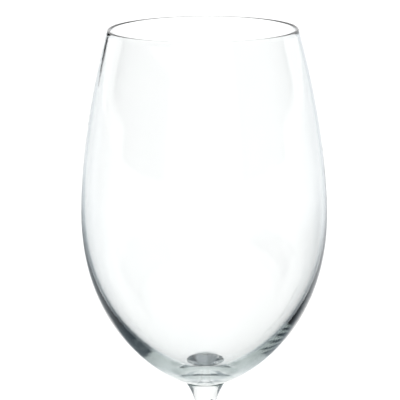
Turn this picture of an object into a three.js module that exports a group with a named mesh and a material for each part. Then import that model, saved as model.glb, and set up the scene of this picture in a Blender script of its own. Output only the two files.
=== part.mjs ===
// A stemmed red-wine glass, in millimetres, +Z up.
// It stands on its foot with the origin at the centre of the resting plane.
//
// The glass is made of three gathers of clear crystal that are fused while hot: a blown bowl,
// a drawn stem and a disc foot. Each is a solid of revolution about Z, and each pair meets on a
// flat round face, so the three pieces touch without overlapping.
import * as THREE from 'three';

// ---- driving dimensions (mm) ----
const STEM_JOINT_Z = 95.5;     // height of the fused face between the stem and the bowl
const FOOT_JOINT_Z = 6;        // height of the fused face between the foot and the stem

const BOWL = {
  height: 134.5,               // from the fused face to the top of the rim
  rimRadius: 35.2,             // outside radius at the rim
  maxRadius: 46,               // outside radius at the widest place
  maxHeight: 64.5,             // height of the widest place above the fused face
  jointRadius: 7.8,            // radius of the fused face under the bowl
  rimWall: 1.1,                // wall thickness at the rim
  bellyWall: 1.18,             // wall thickness at the widest place
  floorThickness: 2.9,         // glass under the wine, before the button is added
};

// A low round button stands on the floor of the cup, where the stem was drawn from it.
const BUTTON = {
  height: 3.45,
  radius: 10.2,
};

// How far each curve of the bowl keeps its starting direction before it turns.
const BOWL_PULL = {
  baseOut: 7.7,                // outwards from the fused face
  baseUp: 2.4,                 // upwards from the fused face
  bellyDown: 44.7,             // straight down from the belly, outside
  bellyUp: 7.2,                // straight up from the belly
  rimOut: 10,                  // outwards below the rim
  rimDown: 37,                 // downwards below the rim
  innerBellyDown: 45.7,        // straight down from the belly, inside
  innerFloor: 9.5,             // outwards along the floor of the cup
  innerBellyLift: 1,           // the inside is widest this much higher than the outside
};

const STEM = {
  shankRadius: 3.4,            // the thin upper part of the drawn stem
  lowRadius: 3.9,              // the stem just above its lower flare
  topFlare: 15,                // length of the flare below the bowl
  topFlareOut: 1.5,            // how far the upper flare has opened, 5 mm below the bowl
  topFlareLip: 5,
  lowFlare: 17,                // length of the flare above the foot
  lowFlareIn: 1.6,             // how far the lower flare has closed, 2.4 mm above the foot
  lowFlareLip: 2.4,
  footRadius: 7.4,             // radius of the fused face on the foot
};

const FOOT = {
  radius: 41,                  // outside radius
  edgeRadius: 0.9,             // rounding of the rim of the foot
  restInner: 33,               // the flat ring that the glass stands on starts here
  domeHeight: 2,               // hollow of the underside, on the axis
  domeFlat: 12,                // the hollow stays flat out to about here
  domeToe: 24,                 // and runs out towards the resting ring from here
  domeToeHeight: 0.5,
  skirt: 28,                   // the top of the foot rises slowly inwards from here
  skirtHeight: 2.7,
  collar: 13,                  // and turns up towards the stem from here
  collarHeight: 3.2,
};

// ---- fineness of the faceted surfaces ----
const BOWL_SIDES = 60;
const FOOT_SIDES = 48;
const STEM_SIDES = 24;
const LONG_STEPS = 13;         // lower half of the bowl, outside
const FLOOR_STEPS = 22;        // lower half of the bowl, inside, down to the button
const SHORT_STEPS = 7;         // every other curve
const RIM_STEPS = 4;
const FOOT_EDGE_STEPS = 6;

const at = (radius, height) => new THREE.Vector2(radius, height);

/** Points along a cubic curve from a to d, pulled towards b and c, without the first one. */
function bend(a, b, c, d, steps) {
  return new THREE.CubicBezierCurve(a, b, c, d).getPoints(steps).slice(1);
}

/** Points along a round edge of the given centre and radius, without the first one. */
function roundEdge(centre, radius, from, to, steps) {
  const clockwise = to < from;
  const arc = new THREE.EllipseCurve(centre.x, centre.y, radius, radius, from, to, clockwise);
  return arc.getPoints(steps).slice(1);
}

/** The upper half of one side of the bowl, between the belly and the rim. */
function shoulderPulls(belly, rimRadius) {
  return [
    at(belly.x, belly.y + BOWL_PULL.bellyUp),
    at(rimRadius + BOWL_PULL.rimOut, BOWL.height - BOWL_PULL.rimDown),
  ];
}

/** The outside of the bowl: from the fused face, round the belly and up to the rim. */
function bowlOutside() {
  const base = at(BOWL.jointRadius, 0);
  const belly = at(BOWL.maxRadius, BOWL.maxHeight);
  const rim = at(BOWL.rimRadius, BOWL.height - BOWL.rimWall / 2);
  const baseEnd = at(base.x + BOWL_PULL.baseOut, BOWL_PULL.baseUp);
  const bellyEnd = at(belly.x, belly.y - BOWL_PULL.bellyDown);
  const [low, high] = shoulderPulls(belly, rim.x);
  return [
    at(0, 0),
    base,
    ...bend(base, baseEnd, bellyEnd, belly, LONG_STEPS),
    ...bend(belly, low, high, rim, SHORT_STEPS),
  ];
}

/** Lifts a point of the cup's floor onto the button: highest on the axis, level at its edge. */
function onButton(point) {
  const inward = Math.max(0, 1 - (point.x / BUTTON.radius) ** 2);
  return at(point.x, point.y + BUTTON.height * inward ** 2);
}

/** The inside of the bowl: from the rim down the wall to the floor of the cup. */
function bowlInside() {
  const rim = at(BOWL.rimRadius - BOWL.rimWall, BOWL.height - BOWL.rimWall / 2);
  const belly = at(BOWL.maxRadius - BOWL.bellyWall, BOWL.maxHeight + BOWL_PULL.innerBellyLift);
  const floor = at(0, BOWL.floorThickness);
  const bellyEnd = at(belly.x, belly.y - BOWL_PULL.innerBellyDown);
  const floorEnd = at(BOWL_PULL.innerFloor, floor.y);
  const [low, high] = shoulderPulls(belly, rim.x);
  return [
    ...bend(rim, high, low, belly, SHORT_STEPS),
    ...bend(belly, bellyEnd, floorEnd, floor, FLOOR_STEPS).map(onButton),
  ];
}

/** The whole section of the bowl, closed over the fire-polished rim. */
function bowlProfile() {
  const half = BOWL.rimWall / 2;
  const rimCentre = at(BOWL.rimRadius - half, BOWL.height - half);
  return [
    ...bowlOutside(),
    ...roundEdge(rimCentre, half, 0, Math.PI, RIM_STEPS),
    ...bowlInside(),
  ];
}

/** The section of the drawn stem, which flares into the foot and into the bowl. */
function stemProfile() {
  const top = STEM_JOINT_Z - FOOT_JOINT_Z;
  const bottom = at(STEM.footRadius, 0);
  const ankle = at(STEM.lowRadius, STEM.lowFlare);
  const waist = at(STEM.shankRadius, top - STEM.topFlare);
  const flareTop = at(BOWL.jointRadius, top);
  const lowIn = at(bottom.x - STEM.lowFlareIn, STEM.lowFlareLip);
  const lowOut = at(ankle.x, STEM.lowFlare / 2);
  const topIn = at(waist.x, top - STEM.topFlare / 2);
  const topOut = at(waist.x + STEM.topFlareOut, top - STEM.topFlareLip);
  return [
    at(0, 0),
    bottom,
    ...bend(bottom, lowIn, lowOut, ankle, SHORT_STEPS),
    waist,
    ...bend(waist, topIn, topOut, flareTop, SHORT_STEPS),
    at(0, top),
  ];
}

/** The section of the foot: a hollowed underside, a flat resting ring and a gently rising top. */
function footProfile() {
  const edgeCentre = at(FOOT.radius - FOOT.edgeRadius, FOOT.edgeRadius);
  const crown = at(0, FOOT.domeHeight);
  const ring = at(FOOT.restInner, 0);
  const shoulder = at(edgeCentre.x, 2 * FOOT.edgeRadius);
  const neck = at(STEM.footRadius, FOOT_JOINT_Z);
  const domeFlat = at(FOOT.domeFlat, FOOT.domeHeight);
  const domeToe = at(FOOT.domeToe, FOOT.domeToeHeight);
  const skirt = at(FOOT.skirt, FOOT.skirtHeight);
  const collar = at(FOOT.collar, FOOT.collarHeight);
  return [
    crown,
    ...bend(crown, domeFlat, domeToe, ring, SHORT_STEPS),
    at(edgeCentre.x, 0),
    ...roundEdge(edgeCentre, FOOT.edgeRadius, -Math.PI / 2, Math.PI / 2, FOOT_EDGE_STEPS),
    ...bend(shoulder, skirt, collar, neck, SHORT_STEPS),
    at(0, FOOT_JOINT_Z),
  ];
}

/** Clear lead-free crystal with a faint cool tint. */
function crystal(colour) {
  return new THREE.MeshStandardMaterial({ color: colour, roughness: 0.03, metalness: 0 });
}

/** A named solid of revolution about Z, standing at the given height. */
function turned(name, profile, sides, height, material) {
  const geometry = new THREE.LatheGeometry(profile, sides);
  geometry.rotateX(Math.PI / 2);
  const mesh = new THREE.Mesh(geometry, material);
  mesh.name = name;
  mesh.position.z = height;
  return mesh;
}

const wineGlass = new THREE.Group();
wineGlass.add(
  turned('bowl', bowlProfile(), BOWL_SIDES, STEM_JOINT_Z, crystal(0xeef3f0)),
  turned('stem', stemProfile(), STEM_SIDES, FOOT_JOINT_Z, crystal(0xecf1ee)),
  turned('foot', footProfile(), FOOT_SIDES, 0, crystal(0xeaf0ed)),
);

export default wineGlass;
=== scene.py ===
# %% [markdown]
# # A stemmed red-wine glass
# The real glass is three gathers of clear crystal, fused while hot: a blown bowl, a drawn stem
# and a disc foot. Clear glass shows almost nothing of itself. What the eye reads is the light
# that its curved walls bend, trap and soak up. So this lesson spends its care on three things:
# an exact wall, a finish that lets light travel inside it, and surroundings worth bending.

import math

import bpy
import numpy as np
from mathutils import Euler, Matrix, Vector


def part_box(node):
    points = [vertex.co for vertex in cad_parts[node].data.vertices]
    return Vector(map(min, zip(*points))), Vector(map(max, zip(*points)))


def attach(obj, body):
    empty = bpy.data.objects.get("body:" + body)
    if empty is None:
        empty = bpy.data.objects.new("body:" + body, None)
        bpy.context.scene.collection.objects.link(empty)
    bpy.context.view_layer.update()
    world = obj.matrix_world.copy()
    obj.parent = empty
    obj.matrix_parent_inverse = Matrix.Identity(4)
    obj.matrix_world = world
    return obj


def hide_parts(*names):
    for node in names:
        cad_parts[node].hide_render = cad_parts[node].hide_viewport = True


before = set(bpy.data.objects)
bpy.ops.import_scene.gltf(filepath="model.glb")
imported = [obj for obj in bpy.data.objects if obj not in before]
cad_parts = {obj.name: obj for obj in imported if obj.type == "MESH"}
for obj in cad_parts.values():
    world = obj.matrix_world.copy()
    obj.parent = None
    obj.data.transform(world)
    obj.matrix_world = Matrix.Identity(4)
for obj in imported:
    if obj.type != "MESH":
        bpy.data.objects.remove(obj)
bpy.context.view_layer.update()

# %% [markdown]
# ## Where the pieces meet
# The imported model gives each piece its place. The joint between the stem and the bowl is the
# lowest plane of the bowl, and the joint between the foot and the stem is the lowest plane of
# the stem. All else is measured from the axis, which is the Z axis.

# %% Joint heights and outer sizes, from the frame
MM = 0.001
BOWL_LOW, BOWL_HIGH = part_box("bowl")
STEM_LOW, STEM_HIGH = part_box("stem")
FOOT_LOW, FOOT_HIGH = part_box("foot")
BOWL_JOINT = BOWL_LOW.z
FOOT_JOINT = STEM_LOW.z
RIM_HEIGHT = BOWL_HIGH.z
BELLY_RADIUS = BOWL_HIGH.x
FOOT_RADIUS = FOOT_HIGH.x
print(f"joints at {FOOT_JOINT / MM:.1f} and {BOWL_JOINT / MM:.1f} mm, rim at {RIM_HEIGHT / MM:.1f} mm")
print(f"belly radius {BELLY_RADIUS / MM:.2f} mm, foot radius {FOOT_RADIUS / MM:.2f} mm")

# %% [markdown]
# ## Curves for a section
# Each piece is turned on a lathe in the mind: half of its section is drawn once and carried
# round the axis. A glassmaker's section has long free curves and a few small round edges, so
# two tools are enough. A cubic curve leaves one point in a given direction and reaches another
# in a given direction. An arc rounds an edge. Both are worked out as whole arrays.

# %% Section tools


def bend(start, leave, arrive, end, steps):
    """Points on a cubic curve, without the first.

    A point is the blend of the four given ones, weighted by (1-t)^3, 3t(1-t)^2, 3t^2(1-t) and t^3.
    """
    t = np.linspace(0, 1, steps + 1)[1:, None]
    weights = np.hstack([(1 - t) ** 3, 3 * t * (1 - t) ** 2, 3 * t**2 * (1 - t), t**3])
    return weights @ np.array([start, leave, arrive, end], float)


def arc(centre, radius, first, last, steps):
    """Points on a circle between two angles, without the first: centre + radius (cos a, sin a)."""
    angle = np.linspace(first, last, steps + 1)[1:]
    return np.array(centre) + radius * np.stack([np.cos(angle), np.sin(angle)], 1)


# %% [markdown]
# ## A turned piece
# The surface has two parameters: how far along the section, and how far round the axis. Every
# point is (radius cos a, radius sin a, height). The seam is closed because the last column
# joins back to the first, and both ends of the section lie on the axis, where a fan of
# triangles closes the pole. The ring round a fused face is marked sharp, so that the smooth
# shading of the free surface stops there.

# %% Turn a section into a mesh


def turn(name, section, sides, fused_rings=()):
    """A closed solid of revolution as a new object at the origin.

    section is rows of (radius, height) in metres, from pole to pole, outside first.
    Grid point (i, j) is (radius_i cos a_j, radius_i sin a_j, height_i) with a_j = 2 pi j / sides.
    """
    angle = np.linspace(0, 2 * np.pi, sides, endpoint=False)
    ring = np.array(section[1:-1])
    rows = len(ring)
    x = ring[:, :1] * np.cos(angle)
    y = ring[:, :1] * np.sin(angle)
    z = np.repeat(ring[:, 1:], sides, 1)
    poles = [[0, 0, section[0][1]], [0, 0, section[-1][1]]]
    points = np.vstack([np.stack([x, y, z], -1).reshape(-1, 3), poles])
    row = np.arange(rows - 1)[:, None] * sides
    here = np.arange(sides)
    after = np.roll(here, -1)
    quads = np.stack([row + here, row + after, row + sides + after, row + sides + here], -1)
    first_pole, last_pole = rows * sides, rows * sides + 1
    last_row = (rows - 1) * sides
    fan_a = np.stack([np.full(sides, first_pole), after, here], 1)
    fan_b = np.stack([np.full(sides, last_pole), last_row + here, last_row + after], 1)
    mesh = bpy.data.meshes.new(name)
    faces = quads.reshape(-1, 4).tolist() + fan_a.tolist() + fan_b.tolist()
    mesh.from_pydata(points.tolist(), [], faces)
    mesh.polygons.foreach_set("use_smooth", np.ones(len(faces), bool))
    ends = np.empty(len(mesh.edges) * 2, np.int32)
    mesh.edges.foreach_get("vertices", ends)
    rings = np.minimum(ends.reshape(-1, 2) // sides, rows)
    sharp = (rings[:, 0] == rings[:, 1]) & np.isin(rings[:, 0], fused_rings)
    mesh.edges.foreach_set("use_edge_sharp", sharp)
    mesh.update()
    piece = bpy.data.objects.new(name, mesh)
    bpy.context.scene.collection.objects.link(piece)
    print(f"{name}: {len(points)} points, {len(faces)} faces, {sharp.sum()} sharp edges")
    return piece


# %% [markdown]
# ## The blown bowl
# The outside leaves the joint almost flat, swings up to the belly, stands straight there and
# draws in to the rim. The inside follows it at 1.1 mm under the rim and 1.2 mm at the belly,
# and then falls less steeply than the outside. So the wall thickens towards the bottom into a
# crescent of solid glass. That crescent traps light and makes the dark edges under the belly.
# On the floor of the cup stands a low round button, where the stem was drawn from it. It acts
# as a small lens over the stem. The rim is fire-polished: a full half round.

# %% The bowl's section
RIM_RADIUS = 35.2 * MM
RIM_WALL = 1.1 * MM
BELLY_HEIGHT = BOWL_JOINT + 64.5 * MM
BELLY_WALL = 1.18 * MM
JOINT_RADIUS = 7.8 * MM
CUP_FLOOR = BOWL_JOINT + 2.9 * MM
BUTTON_HEIGHT = 3.45 * MM
BUTTON_RADIUS = 10.2 * MM
FUSED_GAP = 0.01 * MM

rim_foot = RIM_HEIGHT - RIM_WALL / 2
base = (JOINT_RADIUS, BOWL_JOINT + FUSED_GAP)
belly = (BELLY_RADIUS, BELLY_HEIGHT)
inner_belly = (BELLY_RADIUS - BELLY_WALL, BELLY_HEIGHT + 1 * MM)


def shoulder(belly_point, rim_radius):
    """The two pulls of the wall between belly and rim: straight up first, outwards at the end."""
    low = (belly_point[0], belly_point[1] + 7.2 * MM)
    high = (rim_radius + 10 * MM, RIM_HEIGHT - 37 * MM)
    return low, high


def on_button(points):
    """Lifts the floor by BUTTON_HEIGHT (1 - (r / BUTTON_RADIUS)^2)^2 inside the button's edge."""
    inward = np.maximum(0, 1 - (points[:, 0] / BUTTON_RADIUS) ** 2)
    return points + np.stack([0 * inward, BUTTON_HEIGHT * inward**2], 1)


outer_low, outer_high = shoulder(belly, RIM_RADIUS)
inner_low, inner_high = shoulder(inner_belly, RIM_RADIUS - RIM_WALL)
outside = [
    [(0, base[1])],
    [base],
    bend(base, (JOINT_RADIUS + 7.7 * MM, base[1] + 2.4 * MM),
         (belly[0], belly[1] - 44.7 * MM), belly, 110),
    bend(belly, outer_low, outer_high, (RIM_RADIUS, rim_foot), 60),
]
inside = [
    bend((RIM_RADIUS - RIM_WALL, rim_foot), inner_high, inner_low, inner_belly, 60),
    on_button(bend(inner_belly, (inner_belly[0], inner_belly[1] - 45.7 * MM), (9.5 * MM, CUP_FLOOR),
                   (0, CUP_FLOOR), 140)),
]
rim = arc((RIM_RADIUS - RIM_WALL / 2, rim_foot), RIM_WALL / 2, 0, math.pi, 12)
bowl_section = np.vstack(outside + [rim] + inside)
bowl = turn("wine_bowl", bowl_section, 256, fused_rings=[0])

# %% [markdown]
# ## The drawn stem
# While the bowl is still soft a gather is pulled down from it, which is why the stem flares
# into the bowl with no edge. It is thinnest below that flare, thickens a little towards the
# foot and flares again. A light ray that enters it from the bowl runs down it as in a fibre.

# %% The stem's section
SHANK_RADIUS = 3.4 * MM
ANKLE_RADIUS = 3.9 * MM
STEM_FOOT_RADIUS = 7.4 * MM
stem_top = BOWL_JOINT - FUSED_GAP
stem_foot = (STEM_FOOT_RADIUS, FOOT_JOINT + FUSED_GAP)
ankle = (ANKLE_RADIUS, FOOT_JOINT + 17 * MM)
waist = (SHANK_RADIUS, stem_top - 15 * MM)
flare_top = (JOINT_RADIUS, stem_top)
stem_section = np.vstack([
    [(0, stem_foot[1])],
    [stem_foot],
    bend(stem_foot, (STEM_FOOT_RADIUS - 1.6 * MM, stem_foot[1] + 2.4 * MM),
         (ANKLE_RADIUS, FOOT_JOINT + 8.5 * MM), ankle, 40),
    bend(ankle, (ANKLE_RADIUS, ankle[1] + 19 * MM), (SHANK_RADIUS, waist[1] - 19 * MM), waist, 40),
    bend(waist, (SHANK_RADIUS, stem_top - 7.5 * MM),
         (SHANK_RADIUS + 1.5 * MM, stem_top - 5 * MM), flare_top, 40),
    [(0, stem_top)],
])
stem = turn("drawn_stem", stem_section, 192, fused_rings=[0, len(stem_section) - 3])

# %% [markdown]
# ## The disc foot
# The foot is pressed flat while hot. Its underside is hollow in the middle and stands on a flat
# ring, its edge is a small half round, and its top climbs slowly and then turns up into the stem.

# %% The foot's section
EDGE_RADIUS = 0.9 * MM
DOME_HEIGHT = 2 * MM
REST_INNER = 33 * MM
edge_centre = (FOOT_RADIUS - EDGE_RADIUS, EDGE_RADIUS)
crown = (0, DOME_HEIGHT)
shoulder_point = (edge_centre[0], 2 * EDGE_RADIUS)
neck = (STEM_FOOT_RADIUS, FOOT_JOINT - FUSED_GAP)
foot_section = np.vstack([
    [crown],
    bend(crown, (12 * MM, DOME_HEIGHT), (24 * MM, 0.5 * MM), (REST_INNER, 0), 40),
    [(edge_centre[0], 0)],
    arc(edge_centre, EDGE_RADIUS, -math.pi / 2, math.pi / 2, 16),
    bend(shoulder_point, (28 * MM, 2.7 * MM), (13 * MM, 3.2 * MM), neck, 50),
    [(0, neck[1])],
])
foot = turn("disc_foot", foot_section, 192, fused_rings=[len(foot_section) - 3])

# %% [markdown]
# ## Shader maths in plain expressions
# A finish is a small graph of nodes. To keep it readable, one class wraps a socket, so that an
# expression such as `1 - mask` adds the Math node it needs.

# %% The socket wrapper


class Graph:
    """The node tree of one material or world."""

    def __init__(self, tree):
        self.tree = tree
        tree.nodes.clear()

    def node(self, kind, settings=(), **sockets):
        """A node of that kind: settings first, then socket values or links by name or s0, s1..."""
        made = self.tree.nodes.new(kind)
        for key, value in dict(settings).items():
            setattr(made, key, value)
        for key, value in sockets.items():
            place = int(key[1:]) if key[0] == "s" and key[1:].isdigit() else key.replace("_", " ")
            if isinstance(value, Wire):
                self.tree.links.new(value.socket, made.inputs[place])
            else:
                made.inputs[place].default_value = value
        return made

    def wire(self, kind, settings=(), out=0, **sockets):
        return Wire(self, self.node(kind, settings, **sockets).outputs[out])


class Wire:
    """An output socket that can be used in an expression on values."""

    def __init__(self, graph, socket):
        self.graph = graph
        self.socket = socket

    def math(self, operation, first, second=0.0):
        return self.graph.wire("ShaderNodeMath", {"operation": operation}, s0=first, s1=second)

    def __add__(self, other):
        return self.math("ADD", self, other)

    def __radd__(self, other):
        return self.math("ADD", other, self)

    def __sub__(self, other):
        return self.math("SUBTRACT", self, other)

    def __rsub__(self, other):
        return self.math("SUBTRACT", other, self)

    def __mul__(self, other):
        return self.math("MULTIPLY", self, other)

    def __rmul__(self, other):
        return self.math("MULTIPLY", other, self)

    def __truediv__(self, other):
        return self.math("DIVIDE", self, other)

    def __pow__(self, other):
        return self.math("POWER", self, other)

    def __gt__(self, other):
        return self.math("GREATER_THAN", self, other)

    def __lt__(self, other):
        return self.math("LESS_THAN", self, other)

    def at_least(self, other):
        return self.math("MAXIMUM", self, other)

    def soft_step(self, low, high, from_value=0.0, to_value=1.0):
        """A smooth climb from from_value at low to to_value at high; low may lie above high."""
        if low > high:
            low, high, from_value, to_value = high, low, to_value, from_value
        return self.graph.wire("ShaderNodeMapRange", {"interpolation_type": "SMOOTHSTEP"},
                               s0=self, s1=low, s2=high, s3=from_value, s4=to_value)


# %% [markdown]
# ## Crystal
# Clear crystal bends light by an index of 1.52 and soaks up a little of it on the way. The
# loss counts only where a ray stays inside for long: at the edges, in the crescent under the
# belly and along the stem. It takes a little more red than green and blue, so those places
# turn slate and sea-green while the wall stays colourless. The surface isn't perfect either:
# hot working leaves faint rings in the wall and a slow swell, and polishing leaves
# parts a shade less sharp. Where two pieces are fused there is no surface at all, so the
# fused faces let light pass straight on.

# %% The crystal finish
CRYSTAL_INDEX = 1.52


def crystal(name, absorb_colour, absorb_density, ring_pitch, ring_depth, fused_planes):
    """Clear glass with absorption, faint working rings and a slow swell, on Object coordinates."""
    material = bpy.data.materials.new(name)
    material.use_nodes = True
    g = Graph(material.node_tree)
    place = g.wire("ShaderNodeTexCoord", out=3)
    parts = g.node("ShaderNodeSeparateXYZ", s0=place)
    x, y, z = (Wire(g, parts.outputs[i]) for i in range(3))
    radius_squared = x * x + y * y
    stretched = g.wire("ShaderNodeMapping", Vector=place, Scale=(9, 9, 1 / ring_pitch))
    rings = g.wire("ShaderNodeTexNoise", Vector=stretched, Scale=1.0, Detail=3.0, Roughness=0.55)
    swell = g.wire("ShaderNodeTexNoise", Vector=place, Scale=38.0, Detail=1.0, Roughness=0.4)
    smears = g.wire("ShaderNodeTexNoise", Vector=place, Scale=90.0, Detail=4.0, Roughness=0.6)
    ripple = g.wire("ShaderNodeBump", Height=rings * 0.6 + swell * 1.4, Strength=1.0, Distance=ring_depth)
    glass = g.wire("ShaderNodeBsdfPrincipled", Transmission_Weight=1.0, IOR=CRYSTAL_INDEX,
                   Roughness=smears.soft_step(0.5, 0.8, 0.0, 0.035), Normal=ripple,
                   Base_Color=g.wire("ShaderNodeMix", {"data_type": "RGBA"}, out=2, Factor=smears,
                                     s6=(1.0, 1.0, 1.0, 1), s7=(0.985, 0.995, 0.99, 1)))
    clear = g.wire("ShaderNodeBsdfTransparent")
    fused = 0.0
    for height, reach in fused_planes:
        fused = fused + (z > height - 0.03 * MM) * (z < height + 0.03 * MM) * (radius_squared < reach**2)
    welded = g.wire("ShaderNodeMixShader", s0=fused, s1=glass, s2=clear)
    light_path = g.node("ShaderNodeLightPath")
    shaded = g.wire("ShaderNodeMixShader", s0=Wire(g, light_path.outputs["Is Shadow Ray"]), s1=welded,
                    s2=g.wire("ShaderNodeBsdfTransparent", Color=(0.93, 0.95, 0.94, 1)))
    body = g.wire("ShaderNodeVolumeAbsorption", Color=(*absorb_colour, 1), Density=absorb_density)
    g.node("ShaderNodeOutputMaterial", Surface=shaded, Volume=body)
    print(name, "absorbs", absorb_density, "per metre")
    return material


SEA_GREY = (0.77, 0.81, 0.805)
BOWL_JOINT_DISC = (BOWL_JOINT, JOINT_RADIUS - 0.02 * MM)
FOOT_JOINT_DISC = (FOOT_JOINT, STEM_FOOT_RADIUS - 0.02 * MM)
bowl.data.materials.append(crystal("blown crystal", SEA_GREY, 36.0, 2.2 * MM, 0.014 * MM, [BOWL_JOINT_DISC]))
stem.data.materials.append(
    crystal("drawn crystal", SEA_GREY, 20.0, 30 * MM, 0.01 * MM, [BOWL_JOINT_DISC, FOOT_JOINT_DISC]))
foot.data.materials.append(crystal("pressed crystal", SEA_GREY, 20.0, 5 * MM, 0.015 * MM, [FOOT_JOINT_DISC]))

# %% [markdown]
# ## Hand the pieces to the frame
# Each turned piece stands for its CAD solid, which is hidden, and rides on the one body.

# %% Ride and replace
for piece, node in ((bowl, "bowl"), (stem, "stem"), (foot, "foot")):
    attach(piece, "root")
    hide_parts(node)
    print(piece.name, "stands for", node)

# %% [markdown]
# ## Two looks for one set
# Photographers hide cards and flags round a glass, where only its edges can find them. Here the
# set does the same with the Light Path node. It looks plain and pale to the camera, and also to
# light that goes straight through both walls of the bowl onto the floor, which is four surfaces
# without a reflection. Light that is bent by an edge or mirrored by a wall meets the shaded set.

# %% What kind of light arrives


def arriving(g):
    """Three masks: seen directly, 4 surfaces and no reflection, 2 surfaces and no reflection."""
    node = g.node("ShaderNodeLightPath")
    direct, depth, mirrored = (Wire(g, node.outputs[name]) for name in
                               ("Is Camera Ray", "Ray Depth", "Glossy Depth"))
    clean = mirrored < 0.5
    through_bowl = (depth > 3.5) * (depth < 4.5) * clean
    through_disc = (depth > 1.5) * (depth < 2.5) * clean
    return direct, through_bowl, through_disc


# %% [markdown]
# ## The floor
# Glass is shown by what is round it. A wide pale floor fills what the camera sees through the
# bowl. Painted shade darkens the paper's colour away from a white strip behind the glass: it falls
# off softly to both sides, and a painted shadow lies close round the foot. The bowl's edges look sideways
# and its thick bottom looks down, so they meet the painted shade and draw themselves as soft grey lines. The
# painted
# shade on the right is the darkest: the left wall of the bowl throws its image back along the left outline.

# %% The floor
FLOOR_HALF = 30.0
PAPER_WHITE = 0.82
CAMERA_BACK = 0.78
# Paper brightness under the painted shade, as fractions of PAPER_WHITE: far off, left, middle and right.
FAR_PAINTED_SHADE = 0.72
LEFT_PAINTED_SHADE = 0.42
MIDDLE_PAINTED_SHADE = 0.7
RIGHT_PAINTED_SHADE = 0.15
floor_mesh = bpy.data.meshes.new("floor")
corners = FLOOR_HALF * np.array([[-1, -1, 0], [1, -1, 0], [1, 1, 0], [-1, 1, 0]])
floor_mesh.from_pydata(corners.tolist(), [], [[0, 1, 2, 3]])
floor = bpy.data.objects.new("floor", floor_mesh)
bpy.context.scene.collection.objects.link(floor)
paper = bpy.data.materials.new("paper with painted shade")
paper.use_nodes = True
g = Graph(paper.node_tree)
spot = g.node("ShaderNodeSeparateXYZ", s0=g.wire("ShaderNodeTexCoord", out=3))
across, along = Wire(g, spot.outputs[0]), Wire(g, spot.outputs[1])
reach = (across * across + along * along + 1e-6) ** 0.5
aside = g.wire("ShaderNodeMath", {"operation": "ABSOLUTE"}, s0=across)
spread = aside / (along + CAMERA_BACK).at_least(0.2)
direct, through_bowl, through_disc = arriving(g)
strip = (1 - spread.soft_step(0.10, 0.16)) * along.soft_step(0.18, 0.24)
behind = (1 - spread.soft_step(0.03, 0.07)) * along.soft_step(0.05, 0.10)
side = across / reach
# Painted shade in the paper's colour: darker on the left, darkest on the right.
near_painted_shade = (side.soft_step(-0.25, -0.05, LEFT_PAINTED_SHADE, MIDDLE_PAINTED_SHADE)
        + side.soft_step(0.55, 0.78, 0.0, RIGHT_PAINTED_SHADE - MIDDLE_PAINTED_SHADE))
# Painted shadow close round the foot: the paper is half as bright within 12 cm.
near_painted_shade = near_painted_shade * reach.soft_step(0.12, 0.32, 0.5, 1.0)
far = reach.soft_step(0.5, 1.2)
# Far out, the painted shade fades to the far paper level; the white strip lifts it back to plain white.
painted_shade_pool = near_painted_shade + far * (FAR_PAINTED_SHADE - near_painted_shade)
shaded = painted_shade_pool + (1 - painted_shade_pool) * strip.at_least(behind)
plain = direct.at_least(through_bowl * (reach > 0.12)).at_least(through_disc * (reach < FOOT_RADIUS))
tone = shaded + plain * (1 - shaded)
# The dimmer, painted-shade parts of the paper get a cool tint: a little less red and a little more blue.
shade_cool_tint = tone * (1 - tone) * PAPER_WHITE
shade = g.wire("ShaderNodeCombineColor", s0=tone * PAPER_WHITE - 0.15 * shade_cool_tint, s1=tone * PAPER_WHITE,
               s2=tone * PAPER_WHITE + 0.10 * shade_cool_tint)
g.node("ShaderNodeOutputMaterial", Surface=g.wire("ShaderNodeBsdfDiffuse", Color=shade))
floor_mesh.materials.append(paper)
print(f"floor {2 * FLOOR_HALF:.0f} m wide, white strip {PAPER_WHITE} bright")

# %% [markdown]
# ## The surroundings
# Light caught in the thick crescent of the wall runs round inside it and leaves on the far
# side, a little upwards. So what stands to the left and right of the set decides how dark the
# crescent looks. The right flank is dark up to high above the horizon. The left flank is dark
# only low down, as if under a window, which is why one side of the bowl carries a plain dark
# band and the other a thin one with a light line in it. The wall behind the set is brightest.

# %% The studio round the set
SKY_WHITE = 1.15
SKY_SIDE = 0.95
SKY_OVERHEAD = 1.1
FLAG_SLATE = (0.03, 0.05, 0.07, 1)
world = bpy.data.worlds.new("studio")
bpy.context.scene.world = world
world.use_nodes = True
g = Graph(world.node_tree)
direction = g.node("ShaderNodeSeparateXYZ", s0=g.wire("ShaderNodeTexCoord", out=0))
east, north, up = (Wire(g, direction.outputs[i]) for i in range(3))
reach = (east * east + north * north + 0.0001) ** 0.5
ahead = north / reach
flank = ahead.soft_step(0.42, 0.32) * ahead.soft_step(-0.87, -0.78)
low = up.soft_step(0.04, 0.09)
rear = ahead.soft_step(0.0, -0.12)
from_floor = low + rear - low * rear
right_dark = east.soft_step(0.0, 0.1) * up.soft_step(0.54, 0.48)
left_dark = east.soft_step(0.0, -0.1) * up.soft_step(0.32, 0.27)
dark = flank * from_floor * (right_dark + left_dark)
window = ahead.soft_step(0.45, 0.70, SKY_SIDE, SKY_WHITE)
overhead = up.soft_step(0.45, 0.75)
light = window + overhead * (SKY_OVERHEAD - window)
pale = g.wire("ShaderNodeCombineColor", s0=light, s1=light, s2=light)
flagged = g.wire("ShaderNodeMix", {"data_type": "RGBA"}, out=2, Factor=dark,
                 s6=pale, s7=FLAG_SLATE)
direct, through_bowl, _ = arriving(g)
sky = g.wire("ShaderNodeMix", {"data_type": "RGBA"}, out=2, Factor=direct.at_least(through_bowl),
             s6=flagged, s7=(SKY_WHITE, SKY_WHITE, SKY_WHITE, 1))
g.node("ShaderNodeOutputWorld", Surface=g.wire("ShaderNodeBackground", Strength=1.0, Color=sky))
print("studio with", len(world.node_tree.nodes), "nodes")

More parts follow.
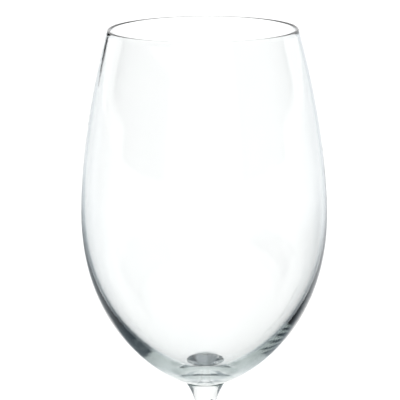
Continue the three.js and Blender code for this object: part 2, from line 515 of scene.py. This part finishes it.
# %% [markdown]
# ## The overhead lamp
# A sun with a very wide disc acts as a large soft box overhead. It lifts the paper to full
# white and leaves almost no shadow. The glass doesn't mirror it, so it adds no hot spots.

# %% The overhead lamp
lamp_data = bpy.data.lights.new("overhead soft lamp", "SUN")
lamp_data.energy = 1.4
lamp_data.angle = math.radians(80)
lamp = bpy.data.objects.new("overhead soft lamp", lamp_data)
lamp.visible_glossy = False
lamp.visible_transmission = False
bpy.context.scene.collection.objects.link(lamp)
print(f"overhead lamp, strength {lamp_data.energy}, {math.degrees(lamp_data.angle):.0f} degrees wide")

# %% [markdown]
# ## A dark card
# A small black card stands far behind the glass on the left, out of the camera's sight. The
# wall under the rim bends its image into a short dark stroke on the left outline.

# %% The card
card_mesh = bpy.data.meshes.new("black card")
card_points = [[-0.95, 1.4, 0.115], [-0.50, 1.4, 0.115], [-0.50, 1.4, 0.19], [-0.95, 1.4, 0.19]]
card_mesh.from_pydata(card_points, [], [[0, 1, 2, 3]])
card = bpy.data.objects.new("black_card", card_mesh)
bpy.context.scene.collection.objects.link(card)
card.visible_camera = False
felt = bpy.data.materials.new("black felt")
felt.use_nodes = True
g = Graph(felt.node_tree)
g.node("ShaderNodeOutputMaterial", Surface=g.wire("ShaderNodeBsdfDiffuse", Color=(0.02, 0.02, 0.02, 1)))
card_mesh.materials.append(felt)
print("card corners", card_points)

# %% [markdown]
# ## Camera
# The camera looks slightly down into the bowl with a long lens, so that the rim is a narrow
# ellipse and the sides hardly converge. It aims at a point on the bowl's axis.

# %% The camera
DISTANCE = 0.8
PITCH = math.radians(12.5)
SENSOR_WIDTH = 36.0
FOCAL_LENGTH = 192.762
SIDE_STEP = 1.52769 * MM
ROLL = math.radians(0.45)
aim_height = BOWL_JOINT + 70.04 * MM
camera_data = bpy.data.cameras.new("camera")
camera_data.sensor_width = SENSOR_WIDTH
camera_data.lens = FOCAL_LENGTH
camera_data.clip_start = 0.01
camera = bpy.data.objects.new("camera", camera_data)
camera.location = (
    -SIDE_STEP,
    -DISTANCE * math.cos(PITCH),
    aim_height + DISTANCE * math.sin(PITCH),
)
turned = Euler((math.pi / 2 - PITCH, 0, 0)).to_matrix() @ Matrix.Rotation(-ROLL, 3, "Z")
camera.rotation_euler = turned.to_euler()
bpy.context.scene.collection.objects.link(camera)
bpy.context.scene.camera = camera
print("camera at", [round(v, 4) for v in camera.location])

# %% [markdown]
# ## Picture settings
# The Standard view keeps white paper white. Trapped light meets the wall up to thirty times
# before it leaves, so the bounce limits are raised well above their usual values.

# %% Picture settings
scene = bpy.context.scene
scene.view_settings.view_transform = "Standard"
scene.cycles.max_bounces = 24
scene.cycles.glossy_bounces = 24
scene.cycles.transmission_bounces = 24
scene.cycles.transparent_max_bounces = 64
print("light may bounce", scene.cycles.max_bounces, "times")
